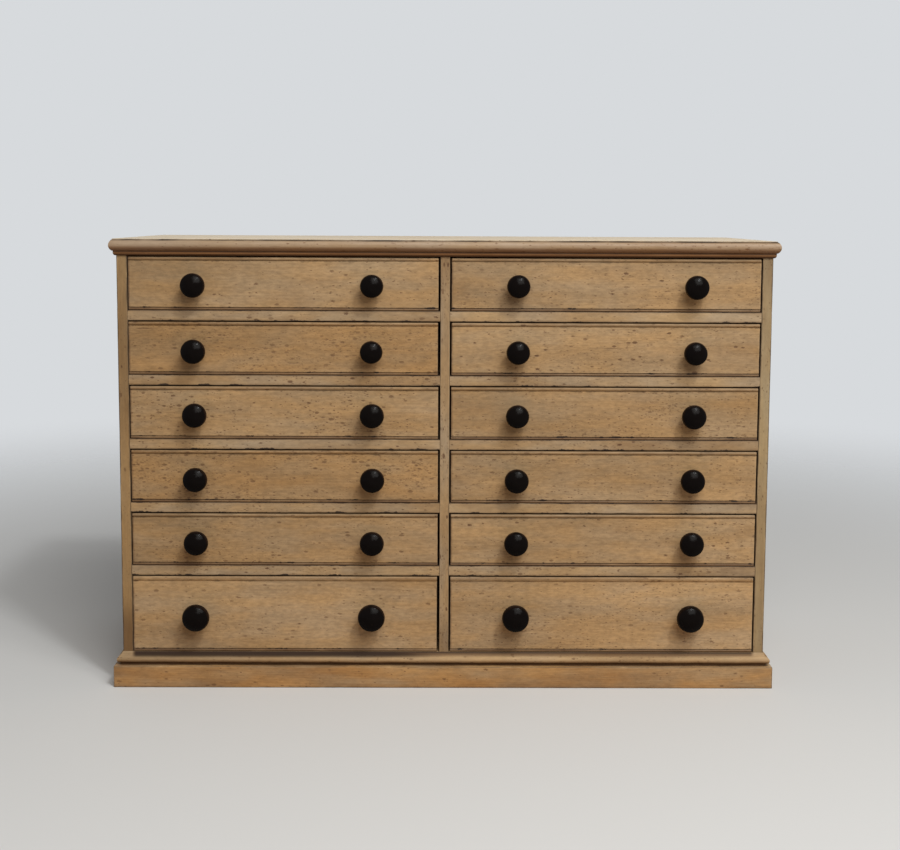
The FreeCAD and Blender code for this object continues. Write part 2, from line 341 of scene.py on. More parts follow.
from_middle, luck = cells(tree, place, (2.6, 9, 9))
chosen = maths(tree, "LESS_THAN", luck[0], KNOT_SHARE)
near_knot = times(tree, chosen, step_down(tree, from_middle, 0.02, 0.34))

wander = times(tree, clouds(tree, place, (1.1, 8, 8), 2.0), 0.05)
wander = plus(tree, wander, times(tree, near_knot, 0.02))
heart = vectors(tree, "LENGTH", vectors(tree, "MULTIPLY", place, (0, 1, 1)))
years = maths(tree, "DIVIDE", plus(tree, heart, wander), given["Ring Width"])

fine = clouds(tree, place, (30, 900, 900), 2.0)
coarse = clouds(tree, place, (9, 260, 260), 3.0)
feed(tree, out, {
    "Rings": maths(tree, "POWER", maths(tree, "FRACT", years), 2.2),
    "Fibre": times(tree, plus(tree, fine, coarse), 0.5),
    "Tone": clouds(tree, place, (2.2, 15, 15), 4.0),
    "Warmth": clouds(tree, place, (8, 30, 30), 2.0),
    "Mottle": clouds(tree, place, (80, 200, 200), 4.0, 0.65),
    "Knots": times(tree, chosen, step_down(tree, from_middle, 0.07, 0.1)),
    "Seam": step_down(tree, edge, SEAM_START, SEAM_END),
})
pine_figure = tree
print("Pine figure:", len(tree.nodes), "nodes")

# %% [markdown]
# ## Knocks, worm holes and shakes
# Old pine is soft and marks easily. Brown pits are scattered over the fronts in loose crowds, with much
# finer specks between them, short dark shakes along the grain and a few stains. One texture of random
# cells gives the pits: most cells are left empty, and a pit fills part of each of the others, with
# noise to spoil its round shape. The same group is used at two sizes. A slow cloud makes the crowds.

# %% Old marks
tree, given, out = new_group(
    "pits", {"Place": (0, 0, 0), "Cells": (150, 170, 170), "Chance": 0.2}, ["Pits"])
place = given["Place"]
ragged = times(tree, minus(tree, clouds(tree, place, (700, 900, 900), 2.0), 0.5), 0.5)
from_middle, luck = cells(tree, place, given["Cells"])
there = maths(tree, "LESS_THAN", luck[0], given["Chance"])
size = plus(tree, times(tree, maths(tree, "POWER", luck[1], 2.0), 0.27), 0.15)
pit = step_down(tree, minus(tree, plus(tree, from_middle, ragged), size), -0.12, 0.08)
depth = plus(tree, times(tree, luck[2], 0.7), 0.3)
feed(tree, out, {"Pits": times(tree, pit, there, depth)})
pits = tree

tree, given, out = new_group(
    "old marks", {"Place": (0, 0, 0), "Amount": 1.0}, ["Pits", "Shakes", "Stains"])
place = given["Place"]
crowd = step_up(tree, clouds(tree, place, (6, 12, 12), 2.0), 0.36, 0.66, 0.12, 1.0)
crowd = times(tree, crowd, given["Amount"])
pit_sizes = []
for pit_cells, chance in (((80, 165, 165), 0.3), ((165, 370, 370), 0.5)):
    inputs = {"Place": place, "Cells": pit_cells, "Chance": times(tree, crowd, chance)}
    pit_sizes.append(use_group(tree, pits, inputs)["Pits"])
streaks = step_up(tree, clouds(tree, place, (22, 330, 330), 2.0), 0.67, 0.78)
feed(tree, out, {
    "Pits": most(tree, pit_sizes[0], times(tree, pit_sizes[1], 0.8)),
    "Shakes": times(tree, streaks, crowd),
    "Stains": step_up(tree, clouds(tree, place, (7, 20, 20), 3.0), 0.52, 0.74),
})
old_marks = tree
print("Old marks:", len(tree.nodes), "nodes")

# %% [markdown]
# ## Grime along the edges of a board
# Dirt gathers along the edges of each drawer front and is rubbed off the very arris. A shader can't
# see how near an edge is, but each board below carries its distances to the six faces of its own box,
# in millimetres. On the surface the smallest of the three is nought, and the middle one is the distance
# to the arris. This holds in every pose, because it belongs to the board and not to what stands beside it.

# %% Arris band
# Far from every face, for a piece that carries no distances
FAR = (1000, 1000, 1000)
BOARD_VALUES = {"From Low": FAR, "From High": FAR, "Place": (0, 0, 0)}

tree, given, out = new_group(
    "arris band", {**BOARD_VALUES, "Reach": 2.0, "Ragged": 1.4}, ["Grime", "Rub"])
place = given["Place"]
x, y, z = parts(tree, vectors(tree, "MINIMUM", given["From Low"], given["From High"]))
arris = most(tree, least(tree, x, y), least(tree, most(tree, x, y), z))
rough_line = times(tree, minus(tree, clouds(tree, place, (26, 80, 80), 3.0, 0.6), 0.5), given["Ragged"])
line = plus(tree, maths(tree, "DIVIDE", arris, given["Reach"]), rough_line)
rub_reach = times(tree, clouds(tree, place, (28, 60, 60), 2.0), 4.0)
feed(tree, out, {
    "Grime": step_down(tree, line, 0.4, 1.0),
    "Rub": step_down(tree, minus(tree, arris, rub_reach), -1.0, 0.4),
})
arris_band = tree
print("Arris band:", len(tree.nodes), "nodes")

# %% [markdown]
# ## End grain
# Where a board is cut across, its open pores drink dirt and stain, so the end of a board is darker than
# its face. That is what makes a dovetail readable: the tails of the drawer side show long grain, and the
# pins between them show end grain. The grain runs along the longest side of each board's box, so the
# two faces at the ends of that side are the ones to darken.

# %% End grain
# In millimetres: how deep the dark end goes, and how little a side may fall short of the longest
END_DEPTH = 0.6
NEARLY = 2.0

tree, given, out = new_group("end grain", BOARD_VALUES, ["End"])
near = parts(tree, vectors(tree, "MINIMUM", given["From Low"], given["From High"]))
long = parts(tree, vectors(tree, "ADD", given["From Low"], given["From High"]))
longest = minus(tree, most(tree, *long), NEARLY)
ends = []
for axis in range(3):
    chosen = maths(tree, "GREATER_THAN", long[axis], longest)
    ends.append(times(tree, chosen, step_down(tree, near[axis], END_DEPTH / 2, END_DEPTH)))
pores = step_up(tree, clouds(tree, given["Place"], (400, 900, 900), 2.0), 0.35, 0.65, 0.65, 1.0)
feed(tree, out, {"End": times(tree, most(tree, *ends), pores)})
end_grain = tree
print("End grain:", len(tree.nodes), "nodes")

# %% [markdown]
# ## Dirt and painted shade in corners
# Under the mouldings, in the scratched quirks and in the gaps between parts the wood is painted darker.
# The ambient occlusion node measures how closed in a spot is, counting the pieces round it as well. That
# is where dirt stays, since no cloth reaches it, and also where shade falls, so this is partly dirt and
# partly painted shade. One measurement gives both: a wide warm brown, and a narrow black line where the
# corner is tightest. Noise breaks the line up, because it is never even.

# %% Settled dirt and painted shade
tree, given, out = new_group(
    "settled dirt", {"Place": (0, 0, 0), "Reach": 14 * MM}, ["Warm", "Black"])
# Ambient occlusion: darker where other geometry is near, as settled dirt and painted shade
open_sky = node(tree, "ShaderNodeAmbientOcclusion", {"Distance": given["Reach"]}, samples=8).outputs["AO"]
patchy = times(tree, minus(tree, clouds(tree, given["Place"], (30, 90, 90), 3.0), 0.5), 0.5)
closed = minus(tree, 1.0, plus(tree, open_sky, patchy))
feed(tree, out, {
    "Warm": step_up(tree, closed, 0.2, 0.7),
    "Black": step_up(tree, closed, 0.55, 0.9),
})
settled_dirt_and_shade = tree
print("Settled dirt:", len(tree.nodes), "nodes")

# %% [markdown]
# ## Dirt and painted shade that belong to one piece
# Some darkening follows from where a piece sits and not from any law of corners: dirt in the fillet on the
# top, painted shade on the lower half of the nose, the dark ledge under the bottom drawers, and dirt with
# painted shade on the bead at the foot of each front. Each of these is a band between two distances from
# a face of the piece's own box, with soft edges and a little noise. Where an edge is chipped, dirt fills
# the nicks instead. Both are groups, and each material joins its own bands and nicks out of them.

# %% Bands and nicks
tree, given, out = new_group(
    "dirt band",
    {"Distance": 0.0, "Start": -1.0, "Full": 0.0, "Leave": 1.0, "End": 2.0, "Uneven": 0.35,
     "Place": (0, 0, 0)},
    ["Dirt"],
)
rise = step_up(tree, given["Distance"], given["Start"], given["Full"])
fall = step_down(tree, given["Distance"], given["Leave"], given["End"])
thinnest = minus(tree, 1.0, given["Uneven"])
patchy = step_up(tree, clouds(tree, given["Place"], (14, 60, 60), 3.0), 0.3, 0.6, thinnest, 1.0)
feed(tree, out, {"Dirt": times(tree, rise, fall, patchy)})
dirt_band = tree

tree, given, out = new_group(
    "dirty nicks", {"Distance": 0.0, "Tall": 2.0, "Place": (0, 0, 0)}, ["Dirt"])
bite = clouds(tree, given["Place"], (36, 30, 30), 4.0, 0.68)
bite = step_up(tree, bite, 0.45, 0.72, -0.6, given["Tall"])
feed(tree, out, {"Dirt": step_down(tree, minus(tree, given["Distance"], bite), -0.2, 0.6)})
dirty_nicks = tree
print("Dirt band and nicks:", len(dirt_band.nodes) + len(dirty_nicks.nodes), "nodes")

# %% [markdown]
# ## Measuring from a board's faces
# The groups above need a distance, which each rubbed board carries on its points. These helpers read
# it, part by part, and place a band or a row of nicks with its own values in one line.

# %% Distances, bands and nicks
def attribute(tree, name):
    return node(tree, "ShaderNodeAttribute", {}, attribute_name=name).outputs["Vector"]


def from_faces(tree):
    """Millimetres to the low faces and then to the high faces of the board's own box, part by part."""
    return parts(tree, attribute(tree, "from_low")), parts(tree, attribute(tree, "from_high"))


def band(tree, value, start, full, leave, end, place, uneven=0.35):
    """A share that rises from start to full and falls from leave to end, in millimetres from a face."""
    inputs = {"Distance": value, "Start": start, "Full": full, "Leave": leave, "End": end}
    return use_group(tree, dirt_band, {**inputs, "Uneven": uneven, "Place": place})["Dirt"]


def nicks(tree, value, place, tall):
    """Dirt in the chips along an edge: here and there it stands up to tall millimetres from the edge."""
    return use_group(tree, dirty_nicks, {"Distance": value, "Tall": tall, "Place": place})["Dirt"]


def away_from(tree, value, line):
    return maths(tree, "ABSOLUTE", minus(tree, value, line))


def no_dirt(tree, place):
    """Every maker of dirt gives two masks: how brown the piece is, and how black."""
    return 0.0, 0.0


print("A piece without dirt of its own is brown and black by", no_dirt(None, None))

# %% [markdown]
# ## Dirt and painted shade on the fronts, rails and sides
# A cloth wipes the middle of a front and never quite reaches its beads, so both beads are brown, and the
# bottom bead is browned further as painted shade. The scratched line beside each holds black dirt where it
# is chipped. The rails are chipped by every drawer that is pushed home crooked. The uprights are browner
# at both ends, and the sides are browner at the foot. A band follows each of these edges, because a
# painted picture of the dirt would fit one front only.

# %% Dirt and painted shade on the fronts, rails and sides
QUIRK_FROM_HEAD = 7.3
QUIRK_FROM_FOOT = 5.2


def front_dirt_and_shade(tree, place):
    """Brown along both beads and down the left end, and black in the chipped quirks; the bottom bead is
    grime and painted shade.
    """
    low, high = from_faces(tree)
    # Dirt and painted shade: the bottom bead is browned
    foot = band(tree, low[2], -1, 0, 3.5, 7.5, place)
    end = band(tree, low[0], -1, 0, 1, 4.5, place, 0.5)
    head = band(tree, high[2], -1, 0, 3.5, 7.5, place, 0.6)
    quirk = nicks(tree, away_from(tree, high[2], QUIRK_FROM_HEAD), place, 2.6)
    bead = nicks(tree, away_from(tree, low[2], QUIRK_FROM_FOOT), place, 2)
    brown = most(tree, foot, times(tree, end, 0.85), times(tree, head, 0.5))
    return brown, most(tree, times(tree, quirk, 0.35), bead)


def rail_dirt(tree, place):
    """A rail is brown and chipped along both arrises, and more along the lower one."""
    low, high = from_faces(tree)
    foot = band(tree, low[2], -1, 0, 1, 4.4, place, 0.5)
    head = band(tree, high[2], -1, 0, 0.6, 3, place, 0.6)
    brown = most(tree, times(tree, foot, 0.65), times(tree, head, 0.7))
    return brown, most(tree, nicks(tree, low[2], place, 3.4), nicks(tree, high[2], place, 1.4))


def upright_browner_ends(head):
    """The front edges of the uprights are browner at both ends; head is how brown the upper end is."""
    def darkening(tree, place):
        low, high = from_faces(tree)
        return most(tree, step_down(tree, low[2], 30, 90, 0.5), step_down(tree, high[2], 0, 90, head)), 0.0
    return darkening


def left_side_browner(tree, place):
    """The left side is brown at the foot, and a little browner about two thirds of the way up."""
    low, high = from_faces(tree)
    middle = band(tree, low[2], 400, 520, 680, 750, place, 0.3)
    return most(tree, step_down(tree, low[2], 100, 180, 0.85), times(tree, middle, 0.4)), 0.0


print("The quirks lie", QUIRK_FROM_HEAD, "and", QUIRK_FROM_FOOT, "mm from the edges of a front")

# %% [markdown]
# ## Dirt and painted shade on the top and the mouldings
# No cloth gets into the step of the top, so it keeps a dark line of dirt. The lower half of the nose and
# the moulding under it are painted brown and black as painted shade, with some dirt, and the round of that
# moulding is left lighter as a painted highlight. The slope of the base moulding lies under the bottom
# drawers and is painted the blackest of all, and the lower half of its nose and the step below it are
# painted shade. These are bands as well, measured from the upper face of each moulding and from its ends.

# %% Dirt and painted shade on the top and the mouldings
def top_dirt_and_shade(tree, place):
    """A dark grimy line in the step, painted shade on the lower nose, and the nose browner than the upper
    face.
    """
    low, high = from_faces(tree)
    line = band(tree, high[2], 0.2, 0.8, 2.6, 4.6, place, 0.65)
    # Painted shade: the lower half of the nose is browned as if in its own shadow
    under = step_up(tree, high[2], 4, 18, 0.0, 0.92)
    # The nose is browned below the upper face, so that face stays paler: partly bleached, partly painted
    # sheen
    nose = step_up(tree, high[2], 0.1, 2.1, 0.0, 0.66)
    return most(tree, under, nose), times(tree, line, 0.95)


def bed_dirt_shade_and_highlight(tree, place):
    """The little moulding under the top is painted brown and black, as painted shade with some grime; its
    round is left lighter, a painted highlight.
    """
    low, high = from_faces(tree)
    # Painted highlight: the round of the moulding is left lighter
    painted_highlight_on_round = band(tree, high[2], 1.5, 3, 4.5, 6, place, 0.3)
    brown = minus(tree, 0.95, times(tree, painted_highlight_on_round, 0.55))
    return brown, times(tree, minus(tree, 1.0, painted_highlight_on_round), 0.6)


def ledge_darker_and_shaded(tree, place):
    """Darker on the slope under the bottom drawers but not under the sides, blackest on the left; the
    lower nose and the step below are painted shade.
    """
    low, high = from_faces(tree)
    inward = step_up(tree, least(tree, low[0], high[0]), 26, 36)
    left_half = step_down(tree, low[0], 500, 620)
    fuller = plus(tree, 0.75, times(tree, left_half, 0.25))
    slope = times(tree, inward, step_down(tree, high[2], 4.5, 8.5), fuller)
    corner = times(tree, inward, step_down(tree, high[2], 1, 4.5, 0.8))
    left = times(tree, inward, left_half, step_down(tree, high[2], 6, 11, 0.9))
    # Painted shade: the step under the nose and the lower half of the nose are darkened
    step = times(tree, step_down(tree, low[2], 3, 7), 0.9)
    under = step_down(tree, low[2], 6, 12, 0.4)
    return most(tree, slope, under, step), most(tree, corner, left)


print("Makers of dirt:", [maker.__name__ for maker in (top_dirt_and_shade, bed_dirt_shade_and_highlight, ledge_darker_and_shaded)])

# %% [markdown]
# ## Layers of colour
# An old surface is made of layers: the wood itself, then stains and pits, then what has been rubbed
# clean, and last the brown and the black dirt, which in closed corners, under the top, on the mouldings
# and on the bottom beads also carries painted shade. Each layer here is a mask, a share and a colour, and
# one is laid over another. The wood under them isn't even either: it is lighter here and warmer there, so
# its colour is multiplied by factors that stay close to one.

# %% Layers of colour
# Dark colours for dirt, seams and grime, used as well for painted shade in closed corners, under the top
# and on the mouldings; the orange brown is mostly painted shade under the top's nose and on the moulding
# below it
DARK_DIRT_AND_SHADE = shade(50, 33, 21)
BLACK_DIRT_AND_SHADE = shade(34, 21, 12)
BROWN = shade(80, 52, 28)
ORANGE_BROWN = shade(103, 60, 17)
PIT = shade(84, 54, 33)
STAIN = shade(112, 84, 56)
KNOT = shade(92, 54, 30)
LATE_WOOD = shade(122, 84, 50)
RUBBED = shade(190, 164, 126)
END_GRAIN = shade(104, 70, 42)


def layered(tree, colour, *layers):
    """Lays colours over a first one, each given as its mask, its share and its colour."""
    for mask, share, paint in layers:
        colour = blend(tree, times(tree, mask, share), colour, paint)
    return colour


def vary(tree, value, by, start=0.3, end=0.7):
    """A factor that goes from a little under one to a little over it."""
    return step_up(tree, value, start, end, 1 - by, 1 + by)


def warmed(tree, figure, light, hue):
    """The light of a spot as a colour, redder where the wood is warm and bluer where it is cool."""
    red = times(tree, light, vary(tree, figure["Warmth"], hue))
    blue = times(tree, light, vary(tree, figure["Warmth"], -2 * hue))
    return node(tree, "ShaderNodeCombineColor", {0: red, 1: light, 2: blue}).outputs[0]


print("Stains are", round(sum(STAIN[:3]) / sum(PIT[:3]), 2), "times as bright as pits")

# %% [markdown]
# ## Stripped pine
# The fronts, rails, top and foot are one wood in slightly different states. So one function builds the
# material, and each call says how this piece differs. Ridges of late wood stand a little proud, because
# stripping eats the soft spring wood first, and a bump node shows them without any geometry. Pits are
# sunk the same way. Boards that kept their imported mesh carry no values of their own, so they get the
# wood and its marks, but none of the dirt that is measured from a board's faces.

# %% Stripped pine
RELIEF = 0.6 * MM


def wood_place(tree, packed_turn):
    """Where a spot lies in its tree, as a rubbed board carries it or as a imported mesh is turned."""
    if packed_turn is None:
        return attribute(tree, "grain_place")
    spot = node(tree, "ShaderNodeTexCoord", {}).outputs["Object"]
    return node(tree, "ShaderNodeMapping", {"Vector": spot, "Rotation": packed_turn}).outputs[0]


def edge_layers(tree, place, grime, ragged, grime_share, soil_and_shade, soil_and_shade_share, soil_and_shade_colour):
    """What lies on a rubbed board near its arrises, at its cut ends and along its own bands of grime and
    painted shade.
    """
    from_low, from_high = attribute(tree, "from_low"), attribute(tree, "from_high")
    values = {"From Low": from_low, "From High": from_high, "Place": place}
    edges = use_group(tree, arris_band, {**values, "Reach": grime, "Ragged": ragged})
    cut_end = use_group(tree, end_grain, values)["End"]
    brown, black = soil_and_shade(tree, place)
    return ((edges["Rub"], 0.3, RUBBED), (cut_end, 0.7, END_GRAIN), (brown, soil_and_shade_share, soil_and_shade_colour),
            (black, 0.92, BLACK_DIRT_AND_SHADE), (edges["Grime"], grime_share, DARK_DIRT_AND_SHADE))


def wood_normal(tree, figure, worn, ring):
    """Proud rings and fibres, and sunken pits and shakes."""
    ridge = plus(tree, times(tree, figure["Rings"], ring), times(tree, figure["Fibre"], 0.3))
    sunk = plus(tree, worn["Pits"], times(tree, worn["Shakes"], 0.5))
    inputs = {"Height": minus(tree, ridge, sunk), "Strength": 0.6, "Distance": RELIEF}
    return node(tree, "ShaderNodeBump", inputs).outputs[0]


def stripped_pine(name, pale, deep, ring=0.1, streak=0.06, mottle=0.07, hue=0.03, knots=0.0, board=10.0,
                  end_fade=0.0, marks=1.0, stain=0.2, grime=2.0, ragged=1.4, grime_share=0.7, soil_and_shade=no_dirt,
                  soil_and_shade_share=0.7, soil_and_shade_colour=BROWN, warm_share=0.5, black_dirt_and_shade_share=0.85, roughness=0.6,
                  packed_turn=None):
    """One state of the wood, as a material."""
    material, tree, surface = new_material(name)
    place = wood_place(tree, packed_turn)
    figure = use_group(tree, pine_figure, {"Place": place, "Board Width": board})
    colour = blend(tree, step_up(tree, figure["Tone"], 0.3, 0.72), shade(*pale), shade(*deep))
    colour = layered(tree, colour, (figure["Rings"], ring, LATE_WOOD), (figure["Knots"], knots, KNOT),
                     (figure["Seam"], 0.8, DARK_DIRT_AND_SHADE))
    light = times(tree, vary(tree, figure["Fibre"], streak),
                  vary(tree, figure["Mottle"], mottle, 0.28, 0.72))
    amount = marks
    if packed_turn is None:
        low, high = from_faces(tree)
        # end_fade makes each board a little darker towards its low end along its length and lighter
        # towards the other
        along = maths(tree, "DIVIDE", low[0], plus(tree, low[0], high[0]))
        light = times(tree, light, vary(tree, along, end_fade, 0, 1))
        amount = times(tree, parts(tree, attribute(tree, "board_marks"))[0], marks)
        colour = blend(tree, 1.0, colour, attribute(tree, "board_tint"), "MULTIPLY")
    colour = blend(tree, 1.0, colour, warmed(tree, figure, light, hue), "MULTIPLY")

    worn = use_group(tree, old_marks, {"Place": place, "Amount": amount})
    # The settled dirt and painted shade of closed corners and gaps
    darkening = use_group(tree, settled_dirt_and_shade, {"Place": place})
    colour = layered(tree, colour, (worn["Stains"], stain, STAIN), (worn["Shakes"], 0.5, PIT),
                     (worn["Pits"], 0.85, PIT), (darkening["Warm"], warm_share, BROWN))
    if packed_turn is None:
        colour = layered(tree, colour, *edge_layers(
            tree, place, grime, ragged, grime_share, soil_and_shade, soil_and_shade_share, soil_and_shade_colour))
    # Black in the tightest corners and gaps: dirt and painted shade
    colour = layered(tree, colour, (darkening["Black"], black_dirt_and_shade_share, DARK_DIRT_AND_SHADE))
    rough = plus(tree, times(tree, figure["Tone"], 0.12), roughness - 0.06, times(tree, darkening["Warm"], 0.2))
    feed(tree, surface, {
        "Base Color": colour,
        "Roughness": rough,
        "Normal": wood_normal(tree, figure, worn, ring),
        "Specular IOR Level": 0.3,
    })
    return material


print("Relief of the late wood:", RELIEF / MM, "mm")

# %% [markdown]
# ## One wood in thirteen states
# The rails are paler than the fronts, the plinth is browner and streaked, and the top is paler still:
# partly bleached, and partly a painted sheen on its upper face. The moulding under the top is painted dark
# as painted shade, with some dirt. The left side is darker than the right one. Inside, where no one
# stripped or scrubbed, the wood is bare and its rings show. Each state is a pair of colours, pale and
# deep, and what differs from the plain state of the function above. Sizes of grime are in millimetres, a
# board's width in metres.

# %% Pine for each piece
RAIL_STATE = {"marks": 1.4, "mottle": 0.13, "grime": 1.4, "stain": 0.4, "hue": 0.06}
SIDE_STATE = {"marks": 0.9, "knots": 0.8, "board": 0.155, "grime": 2.2, "ragged": 2.0, "stain": 0.3}
INSIDE_STATE = {"ring": 0.5, "warm_share": 0.15, "black_dirt_and_shade_share": 0.3}

front_pine = stripped_pine(
    "front_pine_rubbed", (169, 141, 107), (150, 122, 88), soil_and_shade=front_dirt_and_shade, mottle=0.16, hue=0.045,
    grime=1.3, soil_and_shade_share=0.8, warm_share=0.25, black_dirt_and_shade_share=0.3, end_fade=0.06)
rail_pine = stripped_pine(
    "rail_pine_rubbed", (173, 149, 116), (145, 119, 87), soil_and_shade=rail_dirt, **RAIL_STATE)
stile_pine = stripped_pine(
    "stile_pine_rubbed", (173, 149, 116), (145, 119, 87), soil_and_shade=upright_browner_ends(0.6), **RAIL_STATE)
side_pine = stripped_pine(
    "side_pine_rubbed", (172, 144, 108), (146, 115, 80), soil_and_shade=upright_browner_ends(0.45), **SIDE_STATE)
left_pine = stripped_pine(
    "left_side_pine_rubbed", (149, 121, 83), (126, 99, 63), soil_and_shade=left_side_browner, **SIDE_STATE)
# Pale colours for the upper face of the top: partly bleached wood, partly painted sheen
top_pine = stripped_pine(
    "top_pine_rubbed", (216, 199, 169), (197, 175, 141), marks=0.9, knots=0.6, board=0.16, grime=1,
    grime_share=0.2, soil_and_shade=top_dirt_and_shade, soil_and_shade_share=0.95, soil_and_shade_colour=ORANGE_BROWN, roughness=0.44)
# Dark colours for the moulding under the top: painted shade under the nose, with some dirt
bed_pine = stripped_pine(
    "bed_mould_pine_dirt_and_painted_shade", (134, 97, 58), (106, 73, 40), marks=0.7, grime=1.5, grime_share=0.4,
    soil_and_shade=bed_dirt_shade_and_highlight, soil_and_shade_share=0.85, soil_and_shade_colour=ORANGE_BROWN)
base_pine = stripped_pine(
    "base_mould_pine_rubbed", (170, 143, 108), (144, 117, 82), marks=0.8, end_fade=0.08, grime=1.5,
    grime_share=0.3, soil_and_shade=ledge_darker_and_shaded, soil_and_shade_share=0.95, stain=0.35, roughness=0.8)
plinth_pine = stripped_pine(
    "plinth_pine_rubbed", (184, 150, 106), (148, 111, 70), ring=0.18, streak=0.07, mottle=0.12,
    hue=0.08, marks=0.6, ragged=2.0, grime_share=0.5, stain=0.35)
inside_pine = stripped_pine(
    "inside_pine_bare", (196, 166, 124), (176, 140, 96), marks=0.15, grime=1.2, grime_share=0.25,
    knots=0.7, roughness=0.72, **INSIDE_STATE)
back_pine = stripped_pine(
    "back_pine_rough", (150, 122, 90), (118, 92, 64), ring=0.6, streak=0.14, marks=0.5, ragged=2.0,
    warm_share=0.3, knots=0.9, roughness=0.8)
flat_pine = stripped_pine(
    "inside_pine_plain", (190, 160, 118), (168, 134, 92), marks=0.15, knots=0.7, board=0.14,
    roughness=0.72, packed_turn=(0, 0, 0), **INSIDE_STATE)
runner_pine = stripped_pine(
    "runner_pine_plain", (186, 156, 116), (160, 126, 86), marks=0.3, roughness=0.7,
    packed_turn=(0, 0, math.pi / 2), **INSIDE_STATE)
print("Pine materials:", len([made for made in bpy.data.materials if "pine" in made.name]))

# %% [markdown]
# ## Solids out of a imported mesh
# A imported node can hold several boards, and two boards that touch share corner places, so joining by
# place alone would fuse them. The faces of one solid follow each other in the mesh, and a solid is
# complete when every edge has been met twice. That rule splits a node into its boards exactly.

# %% Split a node into boards
WELD = 1e-6
FLAT = math.radians(0.8)


def corner_key(point):
    return tuple(round(part / WELD) for part in point)


def boards_of(mesh):
    corners = [corner_key(vertex.co) for vertex in mesh.vertices]
    boards, faces, open_edges = [], [], set()
    for face in mesh.polygons:
        ring = [corners[index] for index in face.vertices]
        faces.append(face.index)
        for pair in zip(ring, ring[1:] + ring[:1]):
            open_edges ^= {frozenset(pair)}
        if not open_edges:
            boards.append(faces)
            faces = []
    return boards


def board_mesh(mesh, faces):
    """One board as an editable mesh, its triangles joined back into whole flat faces."""
    board = bmesh.new()
    corners = {}
    for index in faces:
        ring = []
        for corner in mesh.polygons[index].vertices:
            point = mesh.vertices[corner].co
            key = corner_key(point)
            if key not in corners:
                corners[key] = board.verts.new(point)
            ring.append(corners[key])
        board.faces.new(ring)
    bmesh.ops.dissolve_limit(board, angle_limit=FLAT, verts=board.verts, edges=board.edges)
    return board


print("The rails node holds", len(boards_of(frame["nodes"]["drawer_rails"].data)), "boards")

# %% [markdown]
# ## Rubbing down the arrises
# A packed board has dead sharp edges. On the real chest every arris that a hand or a cloth can reach is
# rounded, more here and less there, with a chip now and then. A bevel would be even all along, so each
# board is cut into a fine grid instead, and every point that stands outside a rounded corner is drawn
# in to it. The radius comes from noise, so it wanders along the edge. Nothing is ever moved outwards,
# so a rubbed board always fits where the sharp one did.

# %% Cut and rub a board
ARRIS_CUTS = (0.5 * MM, 1.2 * MM, 2.4 * MM)
CHIP_LENGTH = 14 * MM
RUB_LENGTH = 60 * MM
RUB_SHARE = 0.45
CHIP_SHARE = 0.55
CHIP_DEPTH = 4
CHIP_SHIFT = Vector((7, 3, 5))
SEED_STEPS = (1.7, 0.9, 2.3)


def cut_places(low, high, spacing):
    """Even cuts along one side of a board, and closer ones near its two arrises."""
    count = max(1, math.ceil((high - low) / spacing))
    places = [low + (high - low) * index / count for index in range(1, count)]
    for cut in ARRIS_CUTS:
        places += [low + cut, high - cut]
    return [place for place in places if low < place < high]


def cut_board(board, low, high, spacing):
    for axis in range(3):
        normal = Vector((0, 0, 0))
        normal[axis] = 1
        for place in cut_places(low[axis], high[axis], spacing[axis]):
            everything = board.verts[:] + board.edges[:] + board.faces[:]
            bmesh.ops.bisect_plane(
                board, geom=everything, dist=WELD, plane_co=normal * place, plane_no=normal)


def limited(share):
    return min(1, max(0, share))


def worn_radius(point, slight, heavy):
    rubbed = 0.5 + noise.noise(point / RUB_LENGTH)
    chipped = max(0, noise.noise(point / CHIP_LENGTH + CHIP_SHIFT)) ** 2 * CHIP_DEPTH
    return slight + (heavy - slight) * limited(RUB_SHARE * rubbed + CHIP_SHARE * chipped)


def rub_point(vertex, low, high, slight, heavy, seed):
    """Draws a point in to a corner that is rounded by a radius which wanders from place to place."""
    luck = Vector([seed * step for step in SEED_STEPS])
    radius = worn_radius(vertex.co + luck, slight, heavy)
    inner = Vector([
        min(max(part, a + radius), b - radius) if b - a > 2 * radius else (a + b) / 2
        for part, a, b in zip(vertex.co, low, high)
    ])
    away = vertex.co - inner
    if away.length > radius:
        vertex.co = inner + away * (radius / away.length)


print("A metre of board is cut", len(cut_places(0, 1, RUB_LENGTH)), "times at the widest spacing")

# %% [markdown]
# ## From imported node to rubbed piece
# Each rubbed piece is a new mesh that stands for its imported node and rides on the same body. It keeps
# one box per board: the distances to that box drive the grime, and the longest side of the box is the
# way the grain runs. A seeded shift gives every board its own stretch of tree, and each board carries
# how marked it is and a tint that says how it differs in colour from the rest. Weighted normals keep
# the flat faces looking flat between the rounded arrises.

# %% Rubbed piece
BODIES = frame["record"]["behaviour"]["bodies"]
BODY_OF = {name: body for body, names in BODIES.items() for name in names}
SMOOTH_UNDER = math.radians(40)
GRAIN_SHIFT = 3
LEVEL_SPREAD = 0.04
random.seed(1880)


def board_corners(board):
    low = Vector([min(vertex.co[axis] for vertex in board.verts) for axis in range(3)])
    high = Vector([max(vertex.co[axis] for vertex in board.verts) for axis in range(3)])
    return low, high


def along_grain(point, low, high):
    """The same point with the long way of its board first, then the width, then the thickness."""
    size = high - low
    order = sorted(range(3), key=lambda axis: -size[axis])
    return Vector([point[axis] for axis in order])


